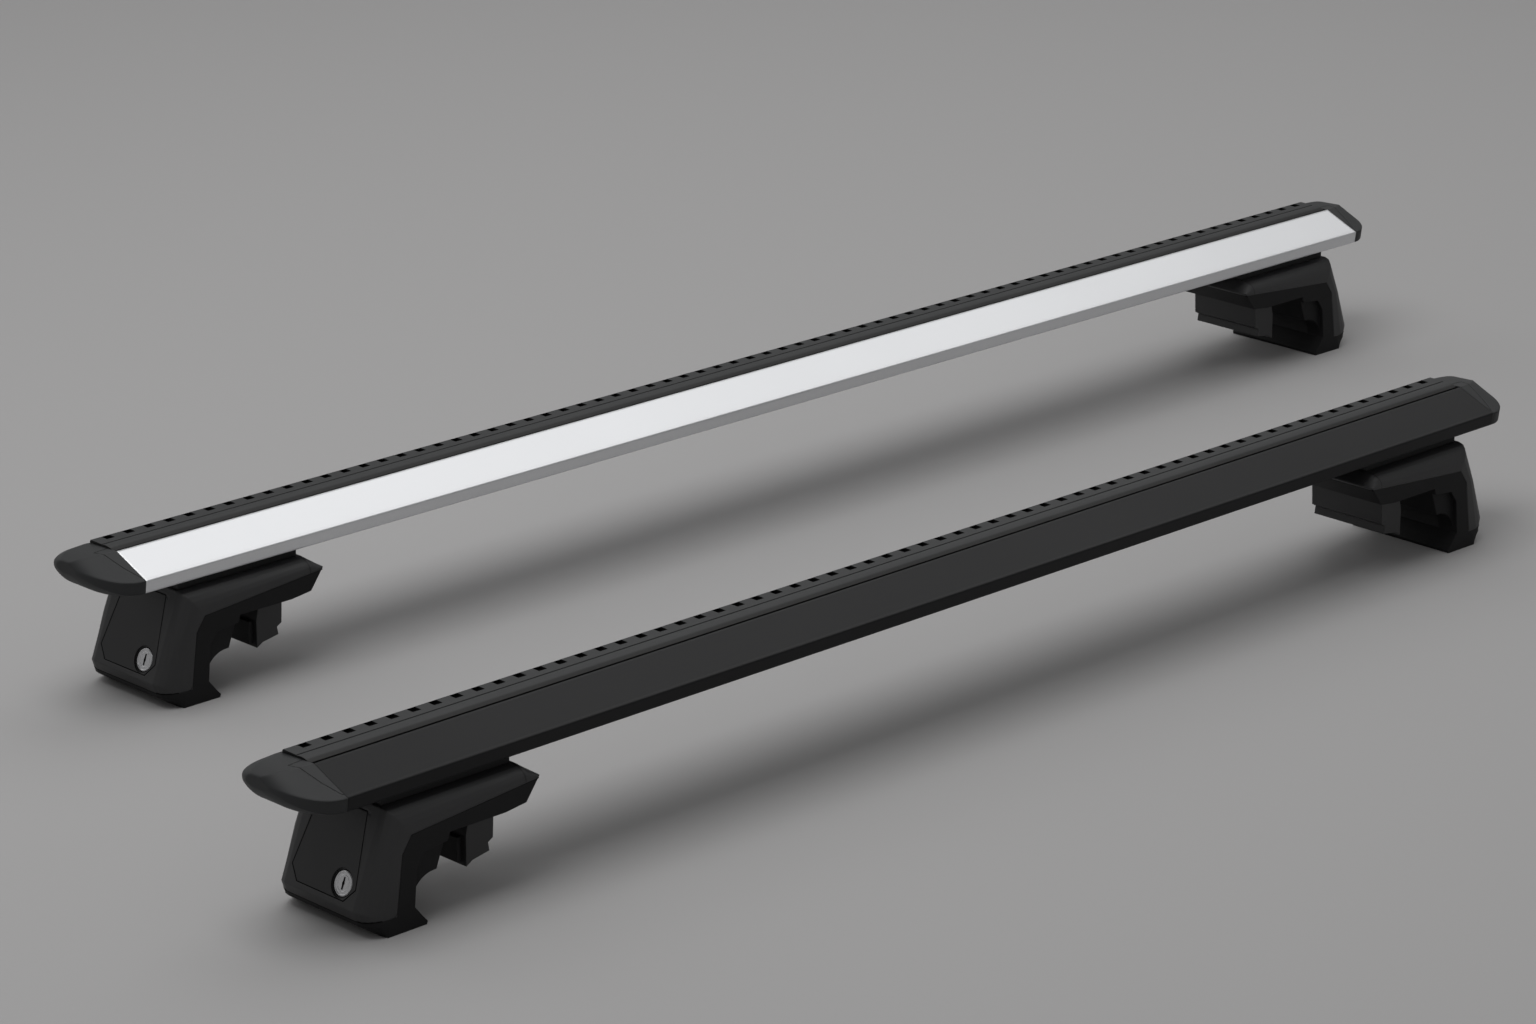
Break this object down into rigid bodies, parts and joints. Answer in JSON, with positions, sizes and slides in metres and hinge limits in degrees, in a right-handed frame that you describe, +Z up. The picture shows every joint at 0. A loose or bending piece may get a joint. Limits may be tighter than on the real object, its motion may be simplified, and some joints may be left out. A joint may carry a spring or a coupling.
{
  "type": "pair of roof cross bars",
  "caption": "Pair of wing-section aluminium roof cross bars with a notched rubber strip, domed end caps and lockable clamping feet that grip raised roof rails.",
  "frame": {"origin": "centre of the bounding box at floor level, under the whole pair", "axes": "+X along the bars towards their right ends as seen from the nearer black bar, +Y from the black bar to the silver bar, +Z up"},
  "size_m": [1.481, 0.487, 0.1104],
  "materials": {
    "silver_aluminium": "satin natural anodised extrusion",
    "black_aluminium": "satin black anodised extrusion",
    "strip_rubber": "matt black rubber with a fine grain",
    "cap_plastic": "fine-textured dark grey moulding",
    "foot_plastic": "fine-textured black glass-filled moulding",
    "foot_arch": "fine-textured black glass-filled moulding",
    "cover_plastic": "smooth satin black moulding",
    "jaw_steel": "black powder coat",
    "foot_rubber": "matt black rubber",
    "zinc_steel": "bright zinc plate",
    "lock_metal": "satin chrome plate"
  },
  "bodies": {
    "root": {"silver_extrusion": "silver_aluminium", "silver_strip": "strip_rubber", "silver_left_cap": "cap_plastic", "silver_left_flap": "cap_plastic", "silver_left_shell": "foot_plastic", "silver_left_arch": "foot_arch", "silver_left_rail_lining": "foot_rubber", "silver_left_bar_pad": "foot_rubber", "silver_left_t_bolt": "zinc_steel", "silver_right_cap": "cap_plastic", "silver_right_flap": "cap_plastic", "silver_right_shell": "foot_plastic", "silver_right_arch": "foot_arch", "silver_right_rail_lining": "foot_rubber", "silver_right_bar_pad": "foot_rubber", "silver_right_t_bolt": "zinc_steel", "black_extrusion": "black_aluminium", "black_strip": "strip_rubber", "black_left_cap": "cap_plastic", "black_left_flap": "cap_plastic", "black_left_shell": "foot_plastic", "black_left_arch": "foot_arch", "black_left_rail_lining": "foot_rubber", "black_left_bar_pad": "foot_rubber", "black_left_t_bolt": "zinc_steel", "black_right_cap": "cap_plastic", "black_right_flap": "cap_plastic", "black_right_shell": "foot_plastic", "black_right_arch": "foot_arch", "black_right_rail_lining": "foot_rubber", "black_right_bar_pad": "foot_rubber", "black_right_t_bolt": "zinc_steel"},
    "silver_left_cover": {"silver_left_cover": "cover_plastic"},
    "silver_left_lock": {"silver_left_lock": "lock_metal"},
    "silver_left_bolt": {"silver_left_bolt": "zinc_steel"},
    "silver_left_jaw": {"silver_left_jaw": "jaw_steel", "silver_left_jaw_nut": "zinc_steel", "silver_left_jaw_pad": "foot_rubber"},
    "silver_right_cover": {"silver_right_cover": "cover_plastic"},
    "silver_right_lock": {"silver_right_lock": "lock_metal"},
    "silver_right_bolt": {"silver_right_bolt": "zinc_steel"},
    "silver_right_jaw": {"silver_right_jaw": "jaw_steel", "silver_right_jaw_nut": "zinc_steel", "silver_right_jaw_pad": "foot_rubber"},
    "black_left_cover": {"black_left_cover": "cover_plastic"},
    "black_left_lock": {"black_left_lock": "lock_metal"},
    "black_left_bolt": {"black_left_bolt": "zinc_steel"},
    "black_left_jaw": {"black_left_jaw": "jaw_steel", "black_left_jaw_nut": "zinc_steel", "black_left_jaw_pad": "foot_rubber"},
    "black_right_cover": {"black_right_cover": "cover_plastic"},
    "black_right_lock": {"black_right_lock": "lock_metal"},
    "black_right_bolt": {"black_right_bolt": "zinc_steel"},
    "black_right_jaw": {"black_right_jaw": "jaw_steel", "black_right_jaw_nut": "zinc_steel", "black_right_jaw_pad": "foot_rubber"}
  },
  "joints": [
    {"name": "silver_left_cover_hinge", "type": "hinge", "parent": "root", "child": "silver_left_cover", "pos_m": [-0.52934, 0.198, 0.07287], "axis": [0, 1, 0], "range_deg": [0, 60]},
    {"name": "silver_left_lock_turn", "type": "hinge", "parent": "silver_left_cover", "child": "silver_left_lock", "pos_m": [-0.54643, 0.181, 0.03034], "axis": [-0.928, 0, 0.3727], "range_deg": [0, 90]},
    {"name": "silver_left_jaw_slide", "type": "slide", "parent": "root", "child": "silver_left_jaw", "axis": [-1, 0, 0], "range_m": [0, 0.012]},
    {"name": "silver_left_bolt_turn", "type": "hinge", "parent": "root", "child": "silver_left_bolt", "pos_m": [-0.5195, 0.198, 0.0455], "axis": [1, 0, 0], "range_deg": [0, 3464]},
    {"name": "silver_right_cover_hinge", "type": "hinge", "parent": "root", "child": "silver_right_cover", "pos_m": [0.68034, 0.198, 0.07287], "axis": [0, -1, 0], "range_deg": [0, 60]},
    {"name": "silver_right_lock_turn", "type": "hinge", "parent": "silver_right_cover", "child": "silver_right_lock", "pos_m": [0.69743, 0.181, 0.03034], "axis": [0.928, 0, 0.3727], "range_deg": [0, 90]},
    {"name": "silver_right_jaw_slide", "type": "slide", "parent": "root", "child": "silver_right_jaw", "axis": [1, 0, 0], "range_m": [0, 0.012]},
    {"name": "silver_right_bolt_turn", "type": "hinge", "parent": "root", "child": "silver_right_bolt", "pos_m": [0.6705, 0.198, 0.0455], "axis": [-1, 0, 0], "range_deg": [0, 3464]},
    {"name": "black_left_cover_hinge", "type": "hinge", "parent": "root", "child": "black_left_cover", "pos_m": [-0.68034, -0.198, 0.07287], "axis": [0, 1, 0], "range_deg": [0, 60]},
    {"name": "black_left_lock_turn", "type": "hinge", "parent": "black_left_cover", "child": "black_left_lock", "pos_m": [-0.69743, -0.215, 0.03034], "axis": [-0.928, 0, 0.3727], "range_deg": [0, 90]},
    {"name": "black_left_jaw_slide", "type": "slide", "parent": "root", "child": "black_left_jaw", "axis": [-1, 0, 0], "range_m": [0, 0.012]},
    {"name": "black_left_bolt_turn", "type": "hinge", "parent": "root", "child": "black_left_bolt", "pos_m": [-0.6705, -0.198, 0.0455], "axis": [1, 0, 0], "range_deg": [0, 3464]},
    {"name": "black_right_cover_hinge", "type": "hinge", "parent": "root", "child": "black_right_cover", "pos_m": [0.35934, -0.198, 0.07287], "axis": [0, -1, 0], "range_deg": [0, 60]},
    {"name": "black_right_lock_turn", "type": "hinge", "parent": "black_right_cover", "child": "black_right_lock", "pos_m": [0.37643, -0.215, 0.03034], "axis": [0.928, 0, 0.3727], "range_deg": [0, 90]},
    {"name": "black_right_jaw_slide", "type": "slide", "parent": "root", "child": "black_right_jaw", "axis": [1, 0, 0], "range_m": [0, 0.012]},
    {"name": "black_right_bolt_turn", "type": "hinge", "parent": "root", "child": "black_right_bolt", "pos_m": [0.3495, -0.198, 0.0455], "axis": [-1, 0, 0], "range_deg": [0, 3464]}
  ],
  "couplings": [
    {"joint": "silver_left_bolt_turn", "follows": "silver_left_jaw_slide", "rad_per_m": 5026.5},
    {"joint": "silver_right_bolt_turn", "follows": "silver_right_jaw_slide", "rad_per_m": 5026.5},
    {"joint": "black_left_bolt_turn", "follows": "black_left_jaw_slide", "rad_per_m": 5026.5},
    {"joint": "black_right_bolt_turn", "follows": "black_right_jaw_slide", "rad_per_m": 5026.5}
  ]
}
